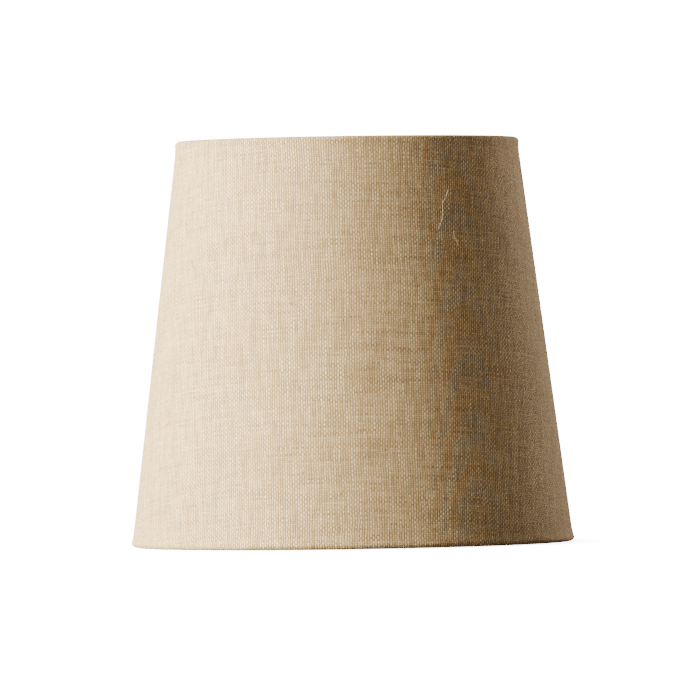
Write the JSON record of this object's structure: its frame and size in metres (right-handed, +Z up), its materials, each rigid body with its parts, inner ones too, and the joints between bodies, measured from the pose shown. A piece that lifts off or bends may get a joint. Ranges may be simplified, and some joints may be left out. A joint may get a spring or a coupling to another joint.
{
  "type": "tapered lamp shade",
  "caption": "Tapered round lamp shade of natural linen on a stiff liner, with rolled rims on wire rings, and wire arms that carry a ring fitter with a lift-out reducer.",
  "frame": {"origin": "on the shade's axis, in the plane that its lower rim rests on", "axes": "+Z up along the shade's axis, towards the narrow rim; +Y towards the lapped seam at the back; -Y is the front"},
  "size_m": [0.23, 0.2306, 0.21],
  "materials": {
    "natural_linen": "plain weave, matt, with slubs",
    "white_liner": "satin",
    "clear_tape": "clear film",
    "white_wire": "white powder coat",
    "pressed_steel": "zinc plated",
    "white_plastic": "moulded"
  },
  "bodies": {
    "shade": {"linen_cover": "natural_linen", "shade_liner": "white_liner", "seam_tape": "clear_tape", "top_ring_wire": "white_wire", "bottom_ring_wire": "white_wire", "fitter_ring": "pressed_steel", "fitter_arm_1": "white_wire", "fitter_arm_2": "white_wire", "fitter_arm_3": "white_wire"},
    "reducer": {"reducer_ring": "white_plastic"}
  },
  "joints": [
    {"name": "reducer_lift", "type": "slide", "parent": "shade", "child": "reducer", "axis": [0, 0, 1], "range_m": [0, 0.18]}
  ]
}
